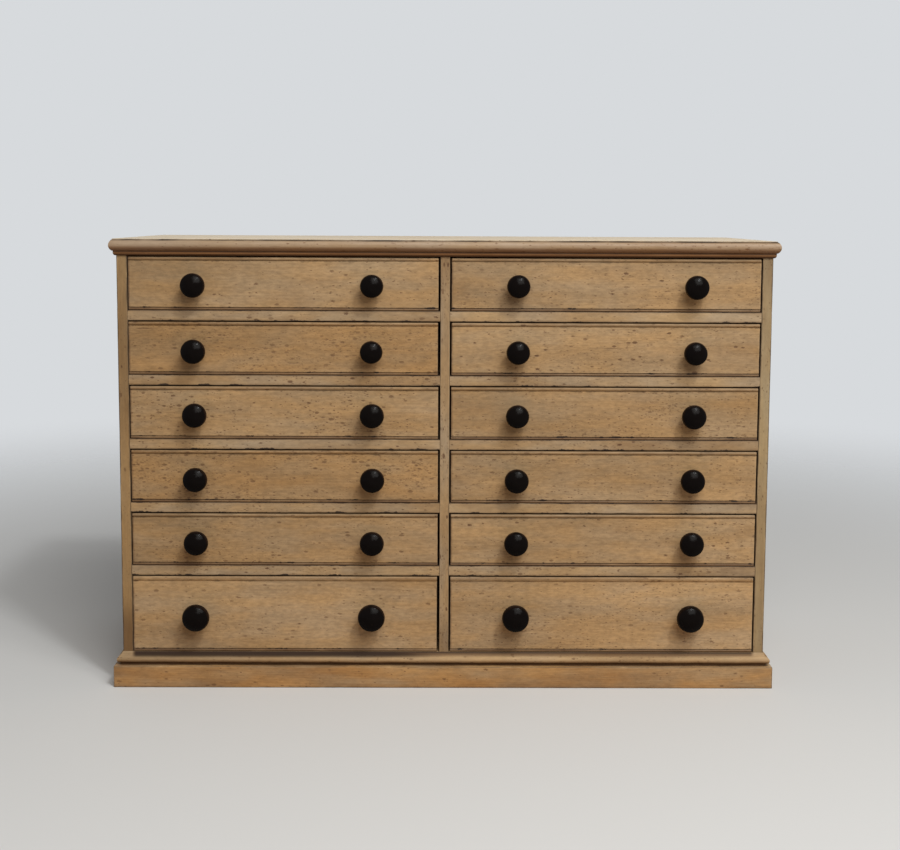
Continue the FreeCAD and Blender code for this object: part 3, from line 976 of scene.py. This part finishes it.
def finished_piece(name, packed, points, faces, carried, material):
    """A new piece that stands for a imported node; carried values ride on its points."""
    mesh = bpy.data.meshes.new(name)
    mesh.from_pydata(points, [], faces)
    for key, values in carried.items():
        made = mesh.attributes.new(key, "FLOAT_VECTOR", "POINT")
        made.data.foreach_set("vector", [part for value in values for part in value])
    mesh.materials.append(material)
    mesh.shade_smooth()
    mesh.set_sharp_from_angle(angle=SMOOTH_UNDER)
    piece = new_object(name, mesh)
    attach(piece, BODY_OF[packed])
    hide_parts(packed)
    return piece


def rubbed_piece(name, packed, material, spacing, shape_board, marks=1, tint=(1, 1, 1)):
    """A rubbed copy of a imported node; shape_board(board, low, high, index) does the wearing."""
    source = frame["nodes"][packed].data
    points, faces = [], []
    carried = {"from_low": [], "from_high": [], "grain_place": [], "board_marks": [], "board_tint": []}
    for index, solid in enumerate(boards_of(source)):
        board = board_mesh(source, solid)
        low, high = board_corners(board)
        cut_board(board, low, high, spacing)
        shape_board(board, low, high, index)
        board.verts.index_update()
        first = len(points)
        shift = Vector([random.uniform(-GRAIN_SHIFT, GRAIN_SHIFT) for _ in range(3)])
        level = random.uniform(1 - LEVEL_SPREAD, 1 + LEVEL_SPREAD)
        for vertex in board.verts:
            points.append(vertex.co.copy())
            carried["from_low"].append((vertex.co - low) / MM)
            carried["from_high"].append((high - vertex.co) / MM)
            carried["grain_place"].append(along_grain(vertex.co, low, high) + shift)
            carried["board_marks"].append((marks, 0, 0))
            carried["board_tint"].append([part * level for part in tint])
        faces += [[first + vertex.index for vertex in face.verts] for face in board.faces]
        board.free()
    piece = finished_piece(name, packed, points, faces, carried, material)
    even = piece.modifiers.new("even shading", "WEIGHTED_NORMAL")
    even.keep_sharp = True


print("Packed nodes that can be stood for:", len(BODY_OF))

# %% [markdown]
# ## Carcase boards
# The sides, the upright between the columns and the rails show only their front edges in the open
# chest, so the wear is all there: it fades away within a finger's breadth of the front. The plinth is
# kicked and mopped all round, so each of its arrises is worn. A width of cells along a board says how
# closely it is cut: closely along an edge that shows, and widely where a board is only deep.

# %% Sides, partition, rails and plinth
FRONT_DEPTH = 14 * MM
BACK_SHARE = 0.15
CELL = 11 * MM
WIDE_CELL = 60 * MM
UPRIGHT_CELLS = (WIDE_CELL, WIDE_CELL, CELL)
CLOSE_CELLS = (CELL, CELL, CELL)
BOX_CELLS = (WIDE_CELL, WIDE_CELL, WIDE_CELL)
UPRIGHT_TINT = (0.9, 0.9, 0.91)
RIGHT_TINT = (0.88, 0.99, 1.03)
# The slightest and the heaviest rounding of an arris
SIDE_WEAR = (0.5 * MM, 2.2 * MM)
PARTITION_WEAR = (0.4 * MM, 2.2 * MM)
RAIL_WEAR = (0.5 * MM, 2.6 * MM)


def wear_front(slight, heavy):
    def shape(board, low, high, index):
        for vertex in board.verts:
            share = max(BACK_SHARE, 1 - (vertex.co.y - low.y) / FRONT_DEPTH)
            rub_point(vertex, low, high, slight * share, heavy * share, index)
    return shape


def wear_all(slight, heavy):
    def shape(board, low, high, index):
        for vertex in board.verts:
            rub_point(vertex, low, high, slight, heavy, index)
    return shape


rubbed_piece("left_side_board", "side_left", left_pine,
             UPRIGHT_CELLS, wear_front(*SIDE_WEAR))
rubbed_piece("right_side_board", "side_right", side_pine,
             UPRIGHT_CELLS, wear_front(*SIDE_WEAR), tint=RIGHT_TINT)
rubbed_piece("upright_between_columns", "centre_partition", stile_pine,
             UPRIGHT_CELLS, wear_front(*PARTITION_WEAR), tint=UPRIGHT_TINT)
rubbed_piece("rails_between_rows", "drawer_rails", rail_pine,
             (CELL, WIDE_CELL, WIDE_CELL), wear_front(*RAIL_WEAR))
rubbed_piece("plinth_with_scuffs", "plinth_boards", plinth_pine,
             CLOSE_CELLS, wear_all(*SIDE_WEAR))
print("Points in the rails:", len(bpy.data.meshes["rails_between_rows"].vertices))

# %% [markdown]
# ## Back boards
# The back is upright boards that were planed by hand, so no two are quite as thick. Each is thinned
# from behind by its own amount, which leaves room for the heads of the nails that hold it. Only the
# points near the back face move, so the tongues and grooves between the boards stay as they are.

# %% Back boards
THINNED_DEPTH = 3 * MM
PLANED_OFF = (0.7, 1.2)
BACK_WEAR = (0.3 * MM, 1.2 * MM)
planing = random.Random(12)
packed_back = boards_of(frame["nodes"]["back_boards"].data)
back_losses = [planing.uniform(*PLANED_OFF) * MM for _ in packed_back]
back_places = []


def plane_back(board, low, high, index):
    """Thins a board from behind, and then rubs its arrises."""
    for vertex in board.verts:
        share = max(0, 1 - (high.y - vertex.co.y) / THINNED_DEPTH)
        vertex.co.y -= back_losses[index] * share
    thinner = Vector((high.x, high.y - back_losses[index], high.z))
    for vertex in board.verts:
        rub_point(vertex, low, thinner, *BACK_WEAR, index)
    back_places.append((low.copy(), thinner))


rubbed_piece("upright_back_boards", "back_boards", back_pine, BOX_CELLS, plane_back)
print("Planed off the back, in mm:", [round(loss / MM, 2) for loss in back_losses])

# %% [markdown]
# ## Nail heads
# The back boards are held by cut nails with hammered rose heads: unequal facets that meet at a point.
# They go through each board into the back rail above and the bottom board below, and through the outer
# boards into the rebates of the sides. A head is a few rings of points, each a little off the circle,
# joined by facets. It is the room left by the plane that lets it stand proud inside the chest's box.

# %% Nail heads
HEAD_RADIUS = 2.6 * MM
HEAD_SIDES = 5
HEAD_PROUD_SHARE = 0.85
# (out, along) of each ring, as shares of the head's radius and of how proud it stands
HEAD_RING_SHARES = ((0.7, -0.5), (1.0, 0.1), (0.62, 0.7))
NARROWEST_SHARE = 0.82
NAIL_SHARES = (0.2, 0.78)
DRIFT_ACROSS = 4
DRIFT_UP = 1.5
EDGE_INSET = 5 * MM
EDGE_STEPS = 6
EDGE_DRIFT_SHARE = 0.25
CLOSE_TO_EDGE = 8 * MM

bottom_low, bottom_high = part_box("bottom_board")
UPPER_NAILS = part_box("drawer_rails")[1].z - 4 * MM
LOWER_NAILS = (bottom_low.z + bottom_high.z) / 2


def ring_faces(first, rings, sides):
    """Faces over rings of points, to a last point that ends them, and a flat face at their start."""
    faces = []
    for ring in range(rings - 1):
        low, high = first + ring * sides, first + (ring + 1) * sides
        for step in range(sides):
            after = (step + 1) % sides
            faces.append((low + step, low + after, high + after, high + step))
    last, tip = first + (rings - 1) * sides, first + rings * sides
    faces += [(last + step, last + (step + 1) % sides, tip) for step in range(sides)]
    faces.append([first + step for step in reversed(range(sides))])
    return faces


def nail_head(points, faces, spot, proud):
    """One rose head, with its rim just under the face of the board and its point proud of it."""
    first = len(points)
    start = planing.uniform(0, math.tau)
    for radius, along in HEAD_RING_SHARES:
        for step in range(HEAD_SIDES):
            angle = start + math.tau * step / HEAD_SIDES
            out = HEAD_RADIUS * radius * planing.uniform(NARROWEST_SHARE, 1.0)
            points.append(spot + Vector((out * math.cos(angle), proud * along, out * math.sin(angle))))
    points.append(spot + Vector((0, proud, 0)))
    head = ring_faces(first, len(HEAD_RING_SHARES), HEAD_SIDES)
    faces += [(face[0], *face[:0:-1]) for face in head]


def nail_spots(low, high):
    """Two nails above and two below, and five more down the outer edge of an outer board."""
    spots = [(low.x + (high.x - low.x) * share, row)
             for row in (UPPER_NAILS, LOWER_NAILS) for share in NAIL_SHARES]
    if low.x < back_places[0][0].x + MM or high.x > back_places[-1][1].x - MM:
        edge = low.x + EDGE_INSET if low.x < 0 else high.x - EDGE_INSET
        rise = UPPER_NAILS - LOWER_NAILS
        spots += [(edge, LOWER_NAILS + rise * step / EDGE_STEPS) for step in range(1, EDGE_STEPS)]
    return spots


points, faces = [], []
for (low, high), loss in zip(back_places, back_losses):
    for x, z in nail_spots(low, high):
        drift_across = planing.uniform(-DRIFT_ACROSS, DRIFT_ACROSS) * MM
        drift_up = planing.uniform(-DRIFT_UP, DRIFT_UP) * MM
        if abs(x) > max(abs(low.x), abs(high.x)) - CLOSE_TO_EDGE:
            drift_across *= EDGE_DRIFT_SHARE
        spot = Vector((x + drift_across, high.y, z + drift_up))
        nail_head(points, faces, spot, loss * HEAD_PROUD_SHARE)
nails = new_object("nails_in_back_boards", bpy.data.meshes.new("nails_in_back_boards"))
nails.data.from_pydata(points, [], faces)
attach(nails, "carcase")
print("Nail heads:", len(points) // (len(HEAD_RING_SHARES) * HEAD_SIDES + 1))

# %% [markdown]
# ## Old iron
# Nails of this age are grey iron with brown rust on it. Where there is rust the surface isn't a metal
# any more but a rough powder, so one cloud drives the colour, the metal and the roughness together.

# %% Old iron
old_iron, tree, iron = new_material("iron_rusted")
spot = node(tree, "ShaderNodeTexCoord", {}).outputs["Object"]
rust = step_up(tree, clouds(tree, spot, (420, 420, 420), 4.0), 0.35, 0.62)
feed(tree, iron, {
    "Base Color": blend(tree, rust, shade(72, 68, 66), shade(86, 52, 34)),
    "Metallic": step_down(tree, rust, 0.0, 1.0, 0.7),
    "Roughness": step_up(tree, rust, 0.0, 1.0, 0.4, 0.85),
})
nails.data.materials.append(old_iron)
print("Old iron:", len(tree.nodes), "nodes")

# %% [markdown]
# ## Top and mouldings
# The nosed top has been knocked and wiped more than anything else. Its band is worn through in places
# and the nose is no longer straight. The mouldings are drawn back a little towards the chest, by an
# amount that wanders along their length, and the upper arris of the top is rounded.

# %% Top and mouldings
side_low, side_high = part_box("side_right")
CARCASE_HALF = side_high.x
CARCASE_FRONT = side_low.y
TOP_BAND_REACH = 6.5 * MM
TOP_RUBBED_DEPTH = 1.44 * MM
TOP_SEED = 3
TOP_WEAR = (0.3 * MM, 1.4 * MM)
NOSE_WEAR = (0, 1.2 * MM)
BED_WEAR = (0, 0.8 * MM)
BASE_WEAR = (0, 1.4 * MM)
MOULD_WANDER = 55 * MM
EVEN_SHARE, SLOW_SHARE, QUICK_SHARE = 0.5, 0.9, 0.5
DRAWN_FROM = 2 * MM
DRAWN_FULLY = 6 * MM


def draw_back(vertex, slight, heavy):
    """Draws a point of a moulding back towards the carcase by an amount that wanders."""
    spot = vertex.co
    slow, quick = noise.noise(spot / MOULD_WANDER), noise.noise(spot / CHIP_LENGTH)
    share = limited(EVEN_SHARE + SLOW_SHARE * slow + QUICK_SHARE * quick)
    loss = slight + (heavy - slight) * share
    out_front = CARCASE_FRONT - spot.y
    out_side = abs(spot.x) - CARCASE_HALF
    if out_front > DRAWN_FROM:
        spot.y += loss * min(1, out_front / DRAWN_FULLY)
    if out_side > DRAWN_FROM:
        spot.x -= math.copysign(loss * min(1, out_side / DRAWN_FULLY), spot.x)


def wear_mould(slight, heavy):
    def shape(board, low, high, index):
        for vertex in board.verts:
            draw_back(vertex, slight, heavy)
    return shape


def wear_top(board, low, high, index):
    band_low = Vector((-CARCASE_HALF - TOP_BAND_REACH, CARCASE_FRONT - TOP_BAND_REACH, low.z))
    band_high = Vector((CARCASE_HALF + TOP_BAND_REACH, high.y, high.z))
    for vertex in board.verts:
        if vertex.co.z > high.z - TOP_RUBBED_DEPTH:
            rub_point(vertex, band_low, band_high, *TOP_WEAR, TOP_SEED)
        draw_back(vertex, *NOSE_WEAR)


rubbed_piece("top_with_worn_nose", "top_board", top_pine,
             (CELL, 2 * CELL, CELL), wear_top)
rubbed_piece("bed_mould_under_top", "bed_mould", bed_pine,
             CLOSE_CELLS, wear_mould(*BED_WEAR))
rubbed_piece("base_moulding_worn", "base_moulding", base_pine,
             CLOSE_CELLS, wear_mould(*BASE_WEAR))
print("Points in the top:", len(bpy.data.meshes["top_with_worn_nose"].vertices))

# %% [markdown]
# ## Drawer fronts
# Twelve fronts with a scratched bead along the top and bottom. No two are marked alike: the second and
# fourth on the left are crowded with pits, and the first and last there are nearly clean. Nor have they
# one colour, as they weren't all cut from one tree. The numbers are this chest's own, row by row. One
# material does for all twelve, because each front carries its own marks and tint.

# %% Drawer fronts and boxes
DRAWERS = [(column, row) for column in ("left", "right") for row in range(1, 7)]
FRONT_WEAR = (0.4 * MM, 2.4 * MM)
BOX_WEAR = (0.2 * MM, 0.9 * MM)
FRONT_MARKS = {
    "left": (0.7, 3.2, 1.4, 3.6, 1.2, 0.7),
    "right": (1.1, 1.2, 1.5, 1.4, 1.1, 1.0),
}
FRONT_TONES = {
    "left": ("plain", "brown", "plain", "brown", "tan", "pale"),
    "right": ("tan", "plain", "tan", "plain", "plain", "pale"),
}
TONES = {
    "pale": (1.08, 1.08, 1.04),
    "plain": (1.02, 1.01, 0.95),
    "tan": (0.93, 0.91, 0.84),
    "brown": (0.9, 0.835, 0.7),
}

for column, row in DRAWERS:
    marks = FRONT_MARKS[column][row - 1]
    tint = TONES[FRONT_TONES[column][row - 1]]
    rubbed_piece(f"front_{column}_{row}", f"drawer_{column}_{row}_front", front_pine,
                 CLOSE_CELLS, wear_front(*FRONT_WEAR), marks, tint)
    rubbed_piece(f"box_{column}_{row}", f"drawer_{column}_{row}_frame", inside_pine,
                 BOX_CELLS, wear_all(*BOX_WEAR))
print("Fronts and boxes:", 2 * len(DRAWERS))

# %% [markdown]
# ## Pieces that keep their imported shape
# Drawer bottoms, runners, stops and the bottom board are plain boards out of reach of any wear. Their
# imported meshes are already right, so they only get a finish.

# %% Finish for the inner boards
inner_finish = {"bottom_board": flat_pine, "drawer_runners": runner_pine, "drawer_stops": flat_pine}
for column, row in DRAWERS:
    inner_finish[f"drawer_{column}_{row}_bottom"] = flat_pine
for packed, material in inner_finish.items():
    frame["nodes"][packed].material_slots[0].material = material
print("Inner nodes finished:", len(inner_finish))

# %% [markdown]
# ## Blackened knobs
# A knob is turned in a lathe, so it is drawn as one profile and swept round its own axis. The profile
# runs from the foot through the waist and the rim to the domed face, which has one fine ring cut in
# it. A smooth line through a few places is enough for the neck, and the dome is a part of a circle.

# %% Knob profile
# (along, out) of the neck and rim, as shares of the knob's length and radius
KNOB_SHARES = (
    (0.0, 0.56), (0.03, 0.55), (0.12, 0.43), (0.24, 0.38), (0.34, 0.46), (0.42, 0.72),
    (0.47, 0.90), (0.53, 0.985), (0.60, 1.0), (0.68, 0.985), (0.75, 0.955), (0.81, 0.91),
)
SPIGOT_RADIUS = 7 * MM
SPIGOT_CHAMFER = 0.8 * MM
NECK_STEPS = 3
DOME_STEPS = 30
RING_SHARE = 0.66
RING_WIDTH = 1.5 * MM
RING_DEPTH = 0.05 * MM


def smooth_between(before, start, end, after, share):
    """A point on the smooth line from start to end that also looks at its two neighbours."""
    square, cube = share * share, share ** 3
    found = []
    for a, b, c, d in zip(before, start, end, after):
        bend = (2 * a - 5 * b + 4 * c - d) * square + (3 * b - a - 3 * c + d) * cube
        found.append(0.5 * (2 * b + (c - a) * share + bend))
    return found


def knob_profile(radius, length, spigot):
    """(along, out) places from the end of the spigot to the middle of the knob's face, in metres."""
    steps = [KNOB_SHARES[0], *KNOB_SHARES, KNOB_SHARES[-1]]
    places = [
        (-spigot, SPIGOT_RADIUS - SPIGOT_CHAMFER),
        (SPIGOT_CHAMFER - spigot, SPIGOT_RADIUS),
        (0, SPIGOT_RADIUS),
    ]
    for index in range(1, len(steps) - 2):
        for part in range(NECK_STEPS):
            along, out = smooth_between(*steps[index - 1:index + 3], part / NECK_STEPS)
            places.append((along * length, out * radius))
    crown, crown_at = KNOB_SHARES[-1][1] * radius, KNOB_SHARES[-1][0] * length
    rise = length - crown_at
    dome = (crown ** 2 + rise ** 2) / (2 * rise)
    widest = math.asin(crown / dome)
    for step in range(DOME_STEPS):
        turn = widest * (1 - step / DOME_STEPS)
        out = dome * math.sin(turn)
        groove = max(0, 1 - abs(out - RING_SHARE * radius) / RING_WIDTH)
        places.append((length - dome * (1 - math.cos(turn)) - RING_DEPTH * groove, out))
    places.append((length, 0))
    return places


print("Knob profile:", len(knob_profile(1, 1, 1)), "places")

# %% [markdown]
# ## Black stain on turned wood
# The stain is black with a hint of purple brown, and a century of fingers has polished it. It is a
# plain dark colour with three changes: it is browner where it is rubbed at the rim, grey with dust in
# the waist, and gone on the spigot, which was never stained. Fine lines round the axis are what the
# chisel left. Each point of a knob carries how far out and how far along it is, as shares of the
# knob's radius and length, which is all those changes need.

# %% Black stain
black_stain, tree, stained = new_material("black_stain_polished")
out, along, _ = parts(tree, attribute(tree, "turning"))
place = attribute(tree, "knob_place")
blotch = clouds(tree, place, (90, 90, 90), 3.0)
rim = times(tree, step_up(tree, out, 0.86, 0.99), step_up(tree, blotch, 0.35, 0.6))
dust = times(tree, step_down(tree, out, 0.42, 0.62), step_up(tree, along, 0.5, 0.4))
bare = step_up(tree, along, -0.02, -0.05)
fibres = clouds(tree, place, (500, 60, 500), 3.0)
colour = blend(tree, blotch, shade(8, 5, 4), shade(15, 10, 8))
colour = layered(tree, colour, (rim, 0.35, shade(52, 36, 30)), (dust, 0.4, shade(60, 48, 40)))
colour = blend(tree, bare, colour, blend(tree, fibres, shade(128, 92, 58), shade(172, 134, 92)))
rough = plus(tree, 0.09, times(tree, blotch, 0.08), times(tree, bare, 0.4), times(tree, dust, 0.3))
round_place = node(tree, "ShaderNodeCombineXYZ", {0: out, 1: along}).outputs[0]
height = plus(tree, clouds(tree, round_place, (60, 60, 1), 2.0), blotch)
bump = node(tree, "ShaderNodeBump", {"Height": height, "Strength": 0.3, "Distance": 0.3 * MM}).outputs[0]
feed(tree, stained, {
    "Base Color": colour,
    "Roughness": rough,
    "Normal": bump,
    "Specular IOR Level": 0.045,
})
print("Black stain:", len(tree.nodes), "nodes")

# %% [markdown]
# ## Turning the knobs
# Each pair of knobs is one piece on its drawer. No two hand-turned knobs sit quite alike, so each is
# turned to its own angle, and leans a hair's breadth in a seeded way. Some of the upper ones are also
# a little smaller than the rest. Sixty-four points to a ring leave no facets on the rim.

# %% Turn the knobs
KNOB_SEGMENTS = 64
LEAN = math.radians(1.0)
KNOB_SIZE_SHARES = {
    ("left", 1): (1.0, 0.95),
    ("left", 2): (1.0, 0.93),
    ("right", 1): (0.95, 0.985),
    ("right", 2): (0.965, 0.955),
    ("right", 3): (0.955, 1.0),
}


def turned_knob(points, faces, carried, foot, radius, length, spigot):
    """Adds one knob with its foot on the drawer front, pointing out along -Y."""
    profile = knob_profile(radius, length, spigot)
    lean = Matrix.Rotation(random.uniform(-LEAN, LEAN), 4, "X")
    lean = lean @ Matrix.Rotation(random.uniform(-LEAN, LEAN), 4, "Z")
    start = random.uniform(0, math.tau)
    shift = Vector([random.uniform(-1, 1) for _ in range(3)])
    faces += ring_faces(len(points), len(profile) - 1, KNOB_SEGMENTS)
    for along, out in profile:
        for step in range(KNOB_SEGMENTS if out > 0 else 1):
            angle = start + math.tau * step / KNOB_SEGMENTS
            spot = Vector((out * math.cos(angle), -along, out * math.sin(angle)))
            points.append(foot + lean @ spot)
            carried["turning"].append((out / radius, along / length, 0))
            carried["knob_place"].append(spot + shift)


for column, row in DRAWERS:
    packed = f"drawer_{column}_{row}_knobs"
    low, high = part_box(packed)
    radius, length, spigot = (high.z - low.z) / 2, CARCASE_FRONT - low.y, high.y - CARCASE_FRONT
    sizes = KNOB_SIZE_SHARES.get((column, row), (1, 1))
    points, faces, carried = [], [], {"turning": [], "knob_place": []}
    for middle, share in zip((low.x + radius, high.x - radius), sizes):
        foot = Vector((middle, CARCASE_FRONT, (low.z + high.z) / 2))
        turned_knob(points, faces, carried, foot, radius * share, length, spigot)
    finished_piece(f"knobs_{column}_{row}", packed, points, faces, carried, black_stain)
print("Knobs turned:", 2 * len(DRAWERS))
